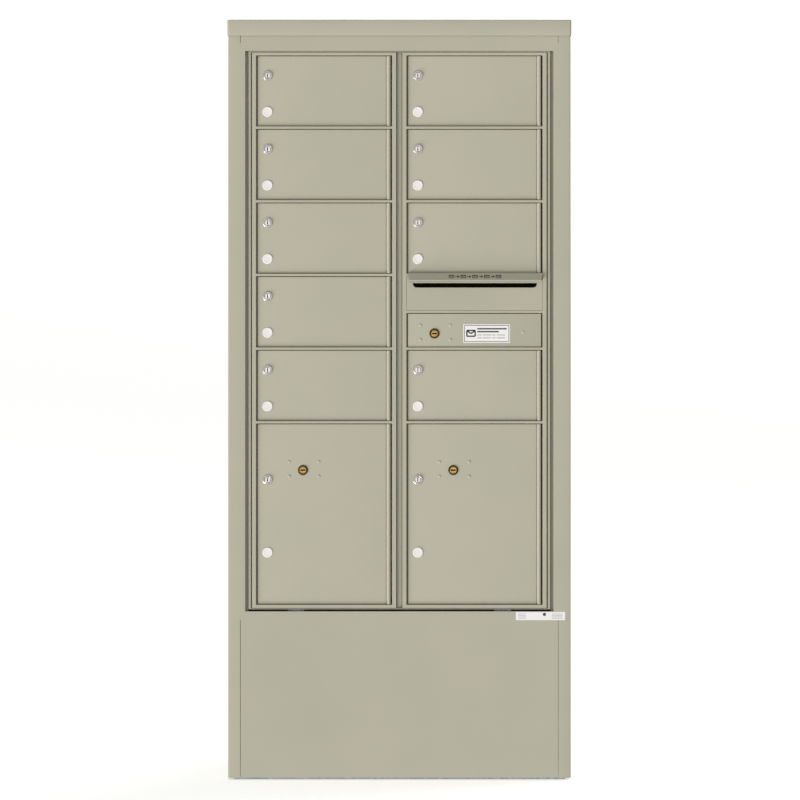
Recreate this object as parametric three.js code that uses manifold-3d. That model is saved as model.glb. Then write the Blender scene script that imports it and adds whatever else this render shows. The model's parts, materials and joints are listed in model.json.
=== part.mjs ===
// Pedestal mailbox cabinet: a sheet-metal cabinet holding a front-loading module of two columns
// of hinged mailbox doors. Millimetres, +Z up, front facing -Y, origin on the floor under the
// centre of the whole footprint.
import * as THREE from 'three';
import { mergeVertices } from 'three/addons/utils/BufferGeometryUtils.js';
import Module from 'manifold-3d';

const wasm = await Module();
wasm.setup();

// ---- Driving dimensions ----------------------------------------------------------------

const WIDTH = 827;
const HEIGHT = 1834;
const DEPTH = 508;
const HOOD_REACH = 12; // hood lip in front of the cabinet's face
const SHEET = 2;
const GAP = 0.3; // clearance between neighbouring pieces

const FRONT = HOOD_REACH - (DEPTH + HOOD_REACH) / 2;
const BACK = FRONT + DEPTH;
const SIDE = WIDTH / 2;

const UNIT = 88.9; // height of one mailbox unit
const TOP_RAIL_LINE = 1751.5;
const COLUMN_OFFSET = 181.5;

const BASE = { halfWidth: 400, inset: 13, thickness: 4, upstand: 40, holeX: 330, holeY: 180, holeR: 7 };
const SIDE_PANEL = { seam: 383.4, seamGap: 0.4, rearReturn: 20.2, fold: 3 };
const OPENING = {
  halfWidth: 371.8, bottom: 406.3, top: 1758.4, returnDepth: 10, returnSheet: 1.5, lipHalfWidth: 364.8,
};
const CAP = { height: 39, overhang: 2.3, frontOverhang: 3, corner: 5 };
const BACK_COVER = { halfWidth: 405, bottom: 12, underCap: 1 };
const WALLS = { bottom: BASE.thickness + GAP, frontBottom: BASE.thickness + 1.3, top: HEIGHT - SHEET - 0.5 };
const PLATFORM = { top: 404.4, thickness: 2, flange: 28, skidTop: 410.7, skidX: 250, skidWidth: 40 };

const FACE = FRONT + 3; // face of the frames that the doors hang in
const CASE = { halfWidth: 364, bottom: 411, top: 1757.6, depth: 430, flange: 3.9, flangeDepth: 3 };
const FRAME = {
  halfWidth: 174.3, stile: 10.2, rail: 6, topRail: 7, bottomRail: 8,
  depth: 20, stopAt: 11, stopSheet: 2, stopSide: 7, stopFoot: 5,
};
const MULLION = { halfWidth: 6, recess: 5, depth: 28 };
const SHELF = { thickness: 2, setback: 33.3 };

const DOOR = {
  halfWidth: 160.95, shift: 0.15, recess: 4.2, accessRecess: 2.2, thickness: 3.2, below: 1.2, above: 1.8,
  knuckle: 5, pinHole: 2.1, lip: 10.5, lipSheet: 2.5, groove: 1, grooveHalf: 0.8, grooveAt: 11,
};
const ROD_R = 1.6;
const PIVOT = { inset: 4.8, back: 5, pinR: 2, frameHole: 2.6, caseHole: 2.4 };

const CAM_LOCK = { plugR: 7.2, holeR: 7.6, proud: 3.5, keySlot: [2, 10], cam: 34 };
const POSTAL_LOCK = {
  plugR: 8.5, boreR: 8.9, barrelR: 11, flangeR: 12.5, holeR: 11.4, proud: 3, keySlot: [13, 3.8], cam: 26,
};
const CAM = { width: 14, from: 21, to: 23, screwR: 4, screwTo: 25, keyDepth: 4 };
const LOCK_FROM_EDGE = 24;
const TENANT_LOCK_RISE = 37.4;
const PARCEL_LOCK_RISE = 83.3;
const PARCEL_POSTAL = { fromEdge: 109.5, rise: 106.3 };
const ACCESS_POSTAL = { fromEdge: 63.9, rise: -7.8 };

const LATCH = { inset: 3.8, width: 8, from: 24.5, to: 27.5, bottom: 440, top: 1753, tabZ: 1084, tab: 14 };
const GUIDE = { from: 19, to: 29.5, wall: 2, height: 12, lines: [450, 862.5, 1218.1, 1573.7] };

const SLOT = { left: 33, right: 332, bottom: 1187.5, top: 1198.3, chamfer: 8 };
const HOOD = {
  top: 1222.3, hemTop: 1205.2, bottom: 1203.2, topLeft: 20.5, topRight: 346, bottomLeft: 24, bottomRight: 341,
  topReach: 2.5, reach: 15, sheet: 2,
};

const LAYOUT = {
  left: ['door_1', 'door_2', 'door_3', 'door_4', 'door_5', 'parcel_door'],
  right: ['door_1', 'door_2', 'door_3', 'outgoing', 'access_door', 'door_4', 'parcel_door'],
};
const UNITS_HIGH = { outgoing: 1, access_door: 1, parcel_door: 5 }; // every other bay is 2 units

// ---- Finishes --------------------------------------------------------------------------

const finish = (color, roughness, metalness) => () =>
  new THREE.MeshStandardMaterial({ color, roughness, metalness });
const powderCoat = finish('#b5b29d', 0.55, 0);
const innerCoat = finish('#a3a18f', 0.6, 0);
const zincPlate = finish('#a9adb0', 0.4, 0.9);
const chrome = finish('#c9ccd0', 0.15, 1);
const brass = finish('#c2a15a', 0.3, 1);

// ---- Solids ----------------------------------------------------------------------------

// A closed geometry as a boolean solid: shared corners merged, collapsed triangles dropped.
function solid(geometry) {
  const bare = geometry.clone();
  bare.deleteAttribute('normal');
  bare.deleteAttribute('uv');
  const merged = mergeVertices(bare, 1e-4);
  const index = merged.index.array;
  const kept = [];
  for (let i = 0; i < index.length; i += 3) {
    const [a, b, c] = index.slice(i, i + 3);
    if (a !== b && b !== c && c !== a) kept.push(a, b, c);
  }
  return new wasm.Manifold(new wasm.Mesh({
    numProp: 3,
    vertProperties: new Float32Array(merged.attributes.position.array),
    triVerts: new Uint32Array(kept),
  }));
}

function geometryOf(manifold) {
  const mesh = manifold.getMesh();
  const geometry = new THREE.BufferGeometry();
  geometry.setAttribute('position', new THREE.BufferAttribute(new Float32Array(mesh.vertProperties), 3));
  geometry.setIndex(new THREE.BufferAttribute(new Uint32Array(mesh.triVerts), 1));
  return geometry;
}

const join = (...solids) => solids.reduce((whole, next) => whole.add(next));
const cut = (base, ...tools) => tools.reduce((rest, tool) => rest.subtract(tool), base);

function block(x, y, z) {
  const geometry = new THREE.BoxGeometry(x[1] - x[0], y[1] - y[0], z[1] - z[0]);
  return solid(geometry.translate((x[0] + x[1]) / 2, (y[0] + y[1]) / 2, (z[0] + z[1]) / 2));
}

const toVectors = (points) => points.map(([u, v]) => new THREE.Vector2(u, v));

function extrude(outline, holes, length) {
  const shape = new THREE.Shape(toVectors(outline));
  shape.holes = holes.map((hole) => new THREE.Path(toVectors(hole)));
  return new THREE.ExtrudeGeometry(shape, { depth: length, bevelEnabled: false });
}

// An outline in plan (x, y) raised from z[0] to z[1].
const post = (outline, z, holes = []) => solid(extrude(outline, holes, z[1] - z[0]).translate(0, 0, z[0]));

// An outline in elevation (x, z) running from y[0] back to y[1].
const plate = (outline, y, holes = []) =>
  solid(extrude(outline, holes, y[1] - y[0]).rotateX(Math.PI / 2).translate(0, y[1], 0));

// A section (y, z) running along x from x[0] to x[1].
const rail = (section, x) =>
  solid(extrude(section, [], x[1] - x[0]).rotateX(Math.PI / 2).rotateZ(Math.PI / 2).translate(x[0], 0, 0));

const rectangle = (x, z) => [[x[0], z[0]], [x[1], z[0]], [x[1], z[1]], [x[0], z[1]]];

function arc(x, y, radius, from, to, steps) {
  return Array.from({ length: steps + 1 }, (_, i) => {
    const angle = THREE.MathUtils.degToRad(from + ((to - from) * i) / steps);
    return [x + radius * Math.cos(angle), y + radius * Math.sin(angle)];
  });
}

const ring = (x, y, radius, sides) => arc(x, y, radius, 0, 360, sides).slice(0, -1);

// A round bar along z or along y.
const upright = (x, y, radius, z, sides) => post(ring(x, y, radius, sides), z);
const across = (x, z, radius, y, sides) => plate(ring(x, z, radius, sides), y);

// ---- Assembly --------------------------------------------------------------------------

const mailbox = new THREE.Group();

function add(name, manifold, makeFinish) {
  const mesh = new THREE.Mesh(geometryOf(manifold), makeFinish());
  mesh.name = name;
  mailbox.add(mesh);
}

// ---- Cabinet ---------------------------------------------------------------------------

function basePlate() {
  const y = [FRONT + BASE.inset, BACK - BASE.inset];
  const top = BASE.thickness + BASE.upstand;
  const pan = cut(
    block([-BASE.halfWidth, BASE.halfWidth], y, [0, top]),
    block(
      [SHEET - BASE.halfWidth, BASE.halfWidth - SHEET], [y[0] + SHEET, y[1] - SHEET], [BASE.thickness, top + 1],
    ),
  );
  const corners = [[-1, -1], [1, -1], [1, 1], [-1, 1]];
  const holes = corners.map(([i, j]) =>
    upright(i * BASE.holeX, j * BASE.holeY, BASE.holeR, [-1, BASE.thickness + 1], 16));
  add('base_plate', cut(pan, ...holes), zincPlate);
}

// A folded side panel: outer wall, front return up to the seam, rear return behind the back cover.
function sidePanel(name, side) {
  const rear = BACK - SHEET - GAP;
  const seam = SIDE_PANEL.seam + SIDE_PANEL.seamGap;
  const rearEdge = SIDE - SIDE_PANEL.rearReturn;
  const r = SIDE_PANEL.fold;
  const outline = [
    [seam, FRONT], ...arc(SIDE - r, FRONT + r, r, -90, 0, 3), ...arc(SIDE - r, rear - r, r, 0, 90, 3),
    [rearEdge, rear], [rearEdge, rear - SHEET], [SIDE - SHEET, rear - SHEET],
    [SIDE - SHEET, FRONT + SHEET], [seam, FRONT + SHEET],
  ];
  const turned = side > 0 ? outline : outline.map(([x, y]) => [-x, y]).reverse();
  add(name, post(turned, [WALLS.bottom, WALLS.top]), powderCoat);
}

// A flat cover screwed over the rear returns from outside, up to the hem of the roof.
function backPanel() {
  const half = BACK_COVER.halfWidth;
  const z = [BACK_COVER.bottom, HEIGHT - CAP.height - BACK_COVER.underCap];
  add('back_panel', block([-half, half], [BACK - SHEET, BACK], z), powderCoat);
}

// One sheet with a window: its edge is folded back all round, and at both sides folded in again
// to cover the gap beside the module.
function frontPanel() {
  const half = SIDE_PANEL.seam - SIDE_PANEL.seamGap;
  const outer = rectangle([-half, half], [WALLS.frontBottom, WALLS.top]);
  const hole = rectangle([-OPENING.halfWidth, OPENING.halfWidth], [OPENING.bottom, OPENING.top]);
  const s = OPENING.returnSheet;
  const sleeve = rectangle(
    [-OPENING.halfWidth - s, OPENING.halfWidth + s], [OPENING.bottom - s, OPENING.top + s],
  );
  const sheet = plate(outer, [FRONT, FRONT + SHEET], [hole]);
  const y = [FRONT + 1, FRONT + OPENING.returnDepth];
  const lips = [-1, 1].map((i) => {
    const x = [i * OPENING.lipHalfWidth, i * (OPENING.halfWidth + s / 2)].sort((a, b) => a - b);
    return block(x, [y[1] - s, y[1]], [OPENING.bottom - s / 2, OPENING.top + s / 2]);
  });
  add('front_panel', join(sheet, plate(sleeve, y, [hole]), ...lips), powderCoat);
}

function roofCap() {
  const half = SIDE + CAP.overhang;
  const y = [FRONT - CAP.frontOverhang, BACK];
  const r = CAP.corner;
  const outline = [
    ...arc(half - r, y[0] + r, r, -90, 0, 4), ...arc(half - r, y[1] - r, r, 0, 90, 4),
    ...arc(r - half, y[1] - r, r, 90, 180, 4), ...arc(r - half, y[0] + r, r, 180, 270, 4),
  ];
  const hem = HEIGHT - CAP.height;
  const inside = block([SHEET - half, half - SHEET], [y[0] + SHEET, y[1] - SHEET], [hem - 1, HEIGHT - SHEET]);
  add('roof_cap', cut(post(outline, [hem, HEIGHT]), inside), powderCoat);
}

// The shelf inside the cabinet that carries the module on two skids.
function modulePlatform() {
  const half = SIDE - SHEET - GAP;
  const y = [FRONT + SHEET + GAP, BACK - 2 * SHEET - 2 * GAP];
  const under = PLATFORM.top - PLATFORM.thickness;
  const folded = cut(
    block([-half, half], y, [under - PLATFORM.flange, PLATFORM.top]),
    block([SHEET - half, half - SHEET], [y[0] - 1, y[1] + 1], [under - PLATFORM.flange - 1, under]),
  );
  const skids = [-1, 1].map((i) => block(
    [i * PLATFORM.skidX - PLATFORM.skidWidth / 2, i * PLATFORM.skidX + PLATFORM.skidWidth / 2],
    [FACE + 30, FACE + CASE.depth - 30], [under + 1, PLATFORM.skidTop],
  ));
  add('module_platform', join(folded, ...skids), zincPlate);
}

// ---- Module ----------------------------------------------------------------------------

const COLUMNS = {
  left: { name: 'left', side: -1, centre: -COLUMN_OFFSET },
  right: { name: 'right', side: 1, centre: COLUMN_OFFSET },
};
for (const column of Object.values(COLUMNS)) {
  column.pivotX = column.centre + column.side * (FRAME.halfWidth - PIVOT.inset);
  column.doorLeft = column.centre + DOOR.shift - DOOR.halfWidth;
  column.doorRight = column.centre + DOOR.shift + DOOR.halfWidth;
  column.rodX = column.doorRight - DOOR.knuckle;
  column.latchX = column.centre - column.side * (FRAME.halfWidth - LATCH.inset - LATCH.width / 2);
}
const faceOf = (kind) => FACE + (kind === 'access_door' ? DOOR.accessRecess : DOOR.recess);
const PIVOT_Y = FACE + PIVOT.back;
const ROD_Y = FACE + DOOR.knuckle;
const FRAME_BOTTOM = TOP_RAIL_LINE - 15 * UNIT - FRAME.bottomRail / 2;
const FRAME_TOP = TOP_RAIL_LINE + FRAME.topRail / 2;

// The bays of a column from the top down, each with the rail lines and clear opening it spans.
function baysOf(column) {
  let line = TOP_RAIL_LINE;
  return LAYOUT[column.name].map((kind, i, all) => {
    const upper = line;
    line -= (UNITS_HIGH[kind] ?? 2) * UNIT;
    const topHalf = i === 0 ? FRAME.topRail / 2 : FRAME.rail / 2;
    const bottomHalf = i === all.length - 1 ? FRAME.bottomRail / 2 : FRAME.rail / 2;
    return { kind, upper, lower: line, clear: [line + bottomHalf, upper - topHalf] };
  });
}

function moduleCase() {
  const y = [FACE, FACE + CASE.depth];
  const inner = CASE.halfWidth - SHEET;
  const z = [CASE.bottom + SHEET, CASE.top - SHEET];
  const shell = cut(
    block([-CASE.halfWidth, CASE.halfWidth], y, [CASE.bottom, CASE.top]),
    block([-inner, inner], [y[0] - 1, y[1] - SHEET], z),
  );
  const flanges = [-1, 1].map((i) => block(
    [Math.min(i * (inner + 1), i * (inner - CASE.flange)), Math.max(i * (inner + 1), i * (inner - CASE.flange))],
    [y[0], y[0] + CASE.flangeDepth], [z[0] - 1, z[1] + 1],
  ));
  const pinHole = (column, from) =>
    upright(column.pivotX, PIVOT_Y, PIVOT.caseHole, [from - 1, from + SHEET + 1], 12);
  const pinHoles = Object.values(COLUMNS).flatMap((column) =>
    [CASE.bottom, z[1]].map((from) => pinHole(column, from)));
  const latchHoles = Object.values(COLUMNS).map((column) => block(
    [column.latchX - LATCH.width / 2 - 0.8, column.latchX + LATCH.width / 2 + 0.8],
    [FACE + LATCH.from - 0.8, FACE + LATCH.to + 0.8], [z[1] - 1, CASE.top + 1],
  ));
  add('module_case', cut(join(shell, ...flanges), ...pinHoles, ...latchHoles), innerCoat);
}

// The centre wall: a wide mullion in front and a plain sheet behind it.
function centreWall() {
  const front = FACE + MULLION.recess;
  const neck = front + MULLION.depth;
  const z = [CASE.bottom + SHEET + GAP, CASE.top - SHEET - GAP];
  add('centre_mullion', block([-MULLION.halfWidth, MULLION.halfWidth], [front, neck], z), innerCoat);
  add('centre_divider', block([-1, 1], [neck + GAP, FACE + CASE.depth - SHEET - GAP], z), innerCoat);
}

// One shelf under every bay but the lowest, and none between the outgoing bay and its door.
function shelves(column) {
  const inner = 1 + GAP;
  const outer = CASE.halfWidth - SHEET - GAP;
  const x = [column.side * inner, column.side * outer].sort((a, b) => a - b);
  const y = [FACE + SHELF.setback, FACE + CASE.depth - SHEET - GAP];
  const floored = baysOf(column).slice(0, -1).filter((bay) => bay.kind !== 'outgoing');
  floored.forEach(({ lower }, i) => add(
    `${column.name}_shelf_${i + 1}`,
    block(x, y, [lower - SHELF.thickness / 2, lower + SHELF.thickness / 2]), zincPlate,
  ));
}

// ---- Master doors ----------------------------------------------------------------------

// Guides on the back of the inner stile that hold the latch bar.
function latchGuides(column) {
  const half = LATCH.width / 2 + 0.4;
  return GUIDE.lines.map((line) => cut(
    block(
      [column.latchX - half - GUIDE.wall, column.latchX + half + GUIDE.wall],
      [FACE + GUIDE.from, FACE + GUIDE.to], [line - GUIDE.height / 2, line + GUIDE.height / 2],
    ),
    block(
      [column.latchX - half, column.latchX + half],
      [FACE + LATCH.from - 0.4, FACE + LATCH.to + 0.4], [line - GUIDE.height, line + GUIDE.height],
    ),
  ));
}

function masterFrame(column) {
  const outline = (half) => rectangle([column.centre - half, column.centre + half], [FRAME_BOTTOM, FRAME_TOP]);
  const clearHalf = FRAME.halfWidth - FRAME.stile;
  const x = [column.centre - clearHalf, column.centre + clearHalf];
  const windows = baysOf(column).map((bay) => rectangle(x, bay.clear));
  const stops = baysOf(column).map(({ clear }) =>
    rectangle([x[0] + FRAME.stopSide, x[1]], [clear[0] + FRAME.stopFoot, clear[1] + 1]));
  const grid = plate(outline(FRAME.halfWidth), [FACE, FACE + FRAME.depth], windows);
  const stop = plate(
    outline(FRAME.halfWidth - 1), [FACE + FRAME.stopAt, FACE + FRAME.stopAt + FRAME.stopSheet], stops,
  );
  const rodHole = upright(column.rodX, ROD_Y, DOOR.pinHole, [FRAME_BOTTOM + 1.5, FRAME_TOP - 1.5], 12);
  const pivotHole = upright(column.pivotX, PIVOT_Y, PIVOT.frameHole, [FRAME_BOTTOM - 1, FRAME_TOP + 1], 12);
  const frame = join(grid, stop, ...latchGuides(column));
  add(`${column.name}_master_frame`, cut(frame, rodHole, pivotHole), powderCoat);
}

function masterPins(column) {
  add(`${column.name}_master_pivot_pin`,
    upright(column.pivotX, PIVOT_Y, PIVOT.pinR, [CASE.bottom - 1.5, CASE.top], 10), zincPlate);
  add(`${column.name}_door_hinge_rod`,
    upright(column.rodX, ROD_Y, ROD_R, [FRAME_BOTTOM + 2, FRAME_TOP - 2], 10), zincPlate);
}

// The sliding bar that locks a master door into the case's top, with a finger tab beside it.
function latchBar(column) {
  const x = [column.latchX - LATCH.width / 2, column.latchX + LATCH.width / 2];
  const y = [FACE + LATCH.from, FACE + LATCH.to];
  const reach = column.side > 0 ? [x[1] - 1, x[1] + LATCH.tab] : [x[0] - LATCH.tab, x[0] + 1];
  const tab = block(reach, y, [LATCH.tabZ - 8, LATCH.tabZ + 8]);
  add(`${column.name}_latch_bar`, join(block(x, y, [LATCH.bottom, LATCH.top]), tab), zincPlate);
}

// ---- Doors and locks -------------------------------------------------------------------

// The extruded section of a door in plan: a plate with a stiffening lip on the lock side and
// a rolled hinge bead on the other. A carrier's access door has a square front edge instead.
function doorSection(column, face, squareEdge) {
  const { doorLeft: left, doorRight: right, rodX } = column;
  const groove = right - DOOR.grooveAt;
  const plateBack = face + DOOR.thickness;
  const meets = (y) => 180 - THREE.MathUtils.radToDeg(Math.asin((y - ROD_Y) / DOOR.knuckle));
  const front = squareEdge
    ? [[left, face], [right, face], ...arc(rodX, ROD_Y, DOOR.knuckle, 0, meets(plateBack), 9)]
    : [
      [left, face], [groove - DOOR.grooveHalf, face], [groove, face + DOOR.groove],
      [groove + DOOR.grooveHalf, face],
      ...arc(rodX, ROD_Y, DOOR.knuckle, meets(face) - 360, meets(plateBack), 14),
    ];
  return [
    ...front, [left + DOOR.lipSheet, plateBack], [left + DOOR.lipSheet, FACE + DOOR.lip], [left, FACE + DOOR.lip],
  ];
}

function door(name, column, face, z, lockHoles, squareEdge = false) {
  const body = post(doorSection(column, face, squareEdge), z, [ring(column.rodX, ROD_Y, DOOR.pinHole, 12)]);
  const through = [face - 1, face + DOOR.thickness + 1];
  const drills = lockHoles.map((hole) => across(hole.x, hole.z, hole.holeR, through, 16));
  add(name, cut(body, ...drills), powderCoat);
}

// A turning lock plug with its key slot, and the cam on its tail pointing down.
function lockPlug(name, { x, z }, face, lock, makeFinish) {
  const at = (offset) => FACE + offset;
  const half = CAM.width / 2;
  const camOutline = [...arc(x, z, half, 0, 180, 8), ...arc(x, z - lock.cam + half, half, 180, 360, 6)];
  const [slotWidth, slotHeight] = lock.keySlot;
  const nose = face - lock.proud;
  const key = block(
    [x - slotWidth / 2, x + slotWidth / 2], [nose - 1, nose + CAM.keyDepth],
    [z - slotHeight / 2, z + slotHeight / 2],
  );
  const plug = across(x, z, lock.plugR, [nose, at(CAM.from + 0.5)], 16);
  const cam = plate(camOutline, [at(CAM.from), at(CAM.to)]);
  const screw = across(x, z, CAM.screwR, [at(CAM.to - 1), at(CAM.screwTo)], 8);
  add(name, cut(join(plug, cam, screw), key), makeFinish);
}

// The fixed barrel of a postal lock: a flange on the door's face and a sleeve through it.
function lockBarrel(name, { x, z }, face) {
  const y = [face - POSTAL_LOCK.proud + 0.5, face - GAP, face + 14];
  const profile = [
    [POSTAL_LOCK.boreR, y[0]], [POSTAL_LOCK.flangeR, y[0]], [POSTAL_LOCK.flangeR, y[1]],
    [POSTAL_LOCK.barrelR, y[1]], [POSTAL_LOCK.barrelR, y[2]], [POSTAL_LOCK.boreR, y[2]],
    [POSTAL_LOCK.boreR, y[0]],
  ];
  add(name, solid(new THREE.LatheGeometry(toVectors(profile), 20).translate(x, 0, z)), brass);
}

function postalLock(name, spot, face) {
  lockBarrel(`${name}_barrel`, spot, face);
  lockPlug(`${name}_plug`, spot, face, POSTAL_LOCK, brass);
}

function bayDoor(column, bay) {
  const name = `${column.name}_${bay.kind}`;
  const face = faceOf(bay.kind);
  const z = [bay.clear[0] + DOOR.below, bay.clear[1] - DOOR.above];
  const middle = (z[0] + z[1]) / 2;
  const spot = (fromEdge, rise, { holeR }) => ({ x: column.doorLeft + fromEdge, z: middle + rise, holeR });
  if (bay.kind === 'access_door') {
    const postal = spot(ACCESS_POSTAL.fromEdge, ACCESS_POSTAL.rise, POSTAL_LOCK);
    door(name, column, face, z, [postal], true);
    postalLock(`${column.name}_access_lock`, postal, face);
    return;
  }
  const parcel = bay.kind === 'parcel_door';
  const cam = spot(LOCK_FROM_EDGE, parcel ? PARCEL_LOCK_RISE : TENANT_LOCK_RISE, CAM_LOCK);
  const postal = spot(PARCEL_POSTAL.fromEdge, PARCEL_POSTAL.rise, POSTAL_LOCK);
  door(name, column, face, z, parcel ? [cam, postal] : [cam]);
  lockPlug(`${name}_lock`, cam, face, CAM_LOCK, chrome);
  if (parcel) postalLock(`${column.name}_parcel_postal_lock`, postal, face);
}

// ---- Outgoing mail ---------------------------------------------------------------------

function outgoingPanel(column, bay) {
  const half = FRAME.halfWidth - FRAME.stile - GAP;
  const x = [column.centre - half, column.centre + half];
  const outer = rectangle(x, [bay.clear[0] + GAP, bay.clear[1] - GAP]);
  const { left, right, bottom, top, chamfer } = SLOT;
  const slot = [[left + chamfer, bottom], [right - chamfer, bottom], [right, top], [left, top]];
  add('outgoing_mail_panel', plate(outer, [FACE, FACE + DOOR.thickness], [slot]), powderCoat);
}

// An awning over the slot: it slopes out from the panel to an upright lower edge, which is a little
// narrower than its top, and is open below and behind.
function outgoingHood() {
  const back = FACE - GAP;
  const slope = (HOOD.reach - HOOD.topReach) / (HOOD.top - HOOD.hemTop);
  const slant = Math.hypot(1, slope); // depth of the sloping sheet for each unit of its thickness
  const wedge = (inset, low, rear) => {
    const front = [
      [HOOD.bottomLeft + inset, low], [HOOD.bottomRight - inset, low],
      [HOOD.topRight - inset, HOOD.top - inset], [HOOD.topLeft + inset, HOOD.top - inset],
    ];
    const hem = FACE - HOOD.reach + inset * slant;
    const section = [
      [rear, low], [rear, HOOD.top - inset],
      [FACE - HOOD.topReach + inset * (slant - slope), HOOD.top - inset], [hem, HOOD.hemTop], [hem, low],
    ];
    const spanned = rail(section, [HOOD.topLeft - 1, HOOD.topRight + 1]);
    return plate(front, [FACE - HOOD.reach - 1, rear]).intersect(spanned);
  };
  const hood = cut(wedge(0, HOOD.bottom, back), wedge(HOOD.sheet, HOOD.bottom - 1, back + 1));
  add('outgoing_mail_hood', hood, powderCoat);
}

// ---- Build -----------------------------------------------------------------------------

basePlate();
sidePanel('left_side_panel', -1);
sidePanel('right_side_panel', 1);
backPanel();
frontPanel();
roofCap();
modulePlatform();
moduleCase();
centreWall();
for (const column of Object.values(COLUMNS)) {
  shelves(column);
  masterFrame(column);
  masterPins(column);
  latchBar(column);
  for (const bay of baysOf(column)) {
    if (bay.kind === 'outgoing') outgoingPanel(column, bay);
    else bayDoor(column, bay);
  }
}
outgoingHood();

export default mailbox;
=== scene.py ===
# %% [markdown]
# # A pedestal mailbox cabinet, built as a lesson
# The object is a folded-steel cabinet that carries a module of hinged mailbox doors. Its frame,
# sizes and moving bodies already exist as a plain model, which loads first. Every cell below then
# gives one real piece its finished shape and its coating, always placed from the loaded frame.

import json
import math

import bpy
import bmesh
import mathutils
import numpy as np
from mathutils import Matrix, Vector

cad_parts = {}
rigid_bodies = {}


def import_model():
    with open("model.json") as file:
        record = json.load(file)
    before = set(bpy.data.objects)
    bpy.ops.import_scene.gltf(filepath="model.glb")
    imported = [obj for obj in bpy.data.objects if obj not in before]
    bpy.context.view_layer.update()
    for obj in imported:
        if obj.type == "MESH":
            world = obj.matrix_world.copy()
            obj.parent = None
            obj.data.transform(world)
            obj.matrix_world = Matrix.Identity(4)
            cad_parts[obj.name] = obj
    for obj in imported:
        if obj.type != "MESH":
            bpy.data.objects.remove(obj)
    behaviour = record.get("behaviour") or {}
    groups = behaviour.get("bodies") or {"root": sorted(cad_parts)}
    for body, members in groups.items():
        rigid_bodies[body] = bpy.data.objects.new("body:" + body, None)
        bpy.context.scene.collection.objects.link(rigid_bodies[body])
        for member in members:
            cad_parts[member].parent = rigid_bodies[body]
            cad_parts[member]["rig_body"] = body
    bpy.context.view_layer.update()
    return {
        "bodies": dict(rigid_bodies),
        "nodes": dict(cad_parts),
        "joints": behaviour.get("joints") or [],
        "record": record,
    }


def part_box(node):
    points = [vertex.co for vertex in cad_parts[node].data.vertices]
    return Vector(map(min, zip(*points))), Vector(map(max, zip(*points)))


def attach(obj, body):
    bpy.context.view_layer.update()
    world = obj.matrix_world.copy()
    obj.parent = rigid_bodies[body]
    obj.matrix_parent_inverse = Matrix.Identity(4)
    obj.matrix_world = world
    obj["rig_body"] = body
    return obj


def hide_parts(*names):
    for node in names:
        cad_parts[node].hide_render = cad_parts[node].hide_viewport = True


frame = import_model()

# %% [markdown]
# ## Measuring the frame
# All lengths are metres, so a millimetre is worth naming. A node's box gives its place, and a
# hinge joint gives the line that its child turns about, so nothing below is placed by eye.

# %% Sizes and places
MM = 0.001
SHEET = 2.0 * MM
NODES = frame["nodes"]
JOINTS = frame["joints"]
PIVOT = {j["child"]: np.array(j["pos_m"]) for j in JOINTS if j["type"] == "hinge"}
PARENT = {j["child"]: j["parent"] for j in JOINTS}


def extent(node):
    """The lowest and highest corner of a CAD node, as two numpy arrays."""
    low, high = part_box(node)
    return np.array(low), np.array(high)


FRONT = extent("front_panel")[0][1]
FACE = extent("left_master_frame")[0][1]
DOORS = sorted(n for n in frame["bodies"] if "door" in n and "lock" not in n)
CAM_LOCKS = sorted(n for n in frame["bodies"] if n.endswith("_lock"))
POSTAL_LOCKS = sorted(n for n in frame["bodies"] if n.endswith("_lock_plug"))
print(len(DOORS), "doors,", len(CAM_LOCKS), "cam locks,", len(POSTAL_LOCKS), "postal locks")

# %% [markdown]
# ## Outlines
# A mailbox is made of plain drafting shapes: circles, slots with round ends and rectangles with
# round corners. Each one is a closed loop of points counted by angle, so two loops with the same
# number of points can be joined point by point into a surface.

# %% Closed loops of points
def circle(radius, count=48):
    """count points at equal angles, at one radius: (r cos a, r sin a)."""
    angle = np.linspace(0, 2 * np.pi, count, endpoint=False)
    return radius * np.column_stack([np.cos(angle), np.sin(angle)])


def rounded(width, height, radius, count=48):
    """A rectangle with round corners: each quarter of a circle of that radius is pushed out to its
    own corner, so the point at angle a is r (cos a, sin a) plus the corner's centre."""
    quarter = np.linspace(0, np.pi / 2, count // 4)
    turns = np.repeat(np.arange(4), count // 4)
    angle = np.tile(quarter, 4) + turns * np.pi / 2
    sign_x = np.array([1, -1, -1, 1])[turns]
    sign_y = np.array([1, 1, -1, -1])[turns]
    x = radius * np.cos(angle) + sign_x * (width / 2 - radius)
    y = radius * np.sin(angle) + sign_y * (height / 2 - radius)
    return np.column_stack([x, y])


def arc(centre, radius, start, end, count):
    """Points along part of a circle, with start and end in degrees."""
    angle = np.radians(np.linspace(start, end, count))
    return np.array(centre) + radius * np.column_stack([np.cos(angle), np.sin(angle)])


def upright_ring(loop, y, centre=(0, 0)):
    """A loop standing in the plane y = constant: its first axis runs along x, its second along z."""
    return np.column_stack([loop[:, 0] + centre[0], np.full(len(loop), y), loop[:, 1] + centre[1]])


def level_ring(loop, z, centre=(0, 0)):
    """A loop lying in the plane z = constant: its two axes run along x and y."""
    return np.column_stack([loop + np.array(centre), np.full(len(loop), z)])


# %% [markdown]
# ## From loops to closed surfaces
# A loft joins each loop to the next with a band of quads and closes both ends with one face. If
# the last loop joins the first instead, the surface is a closed ring, like a picture frame. Both
# are index arithmetic on whole arrays. The normals are made to point outwards at the end.

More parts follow.
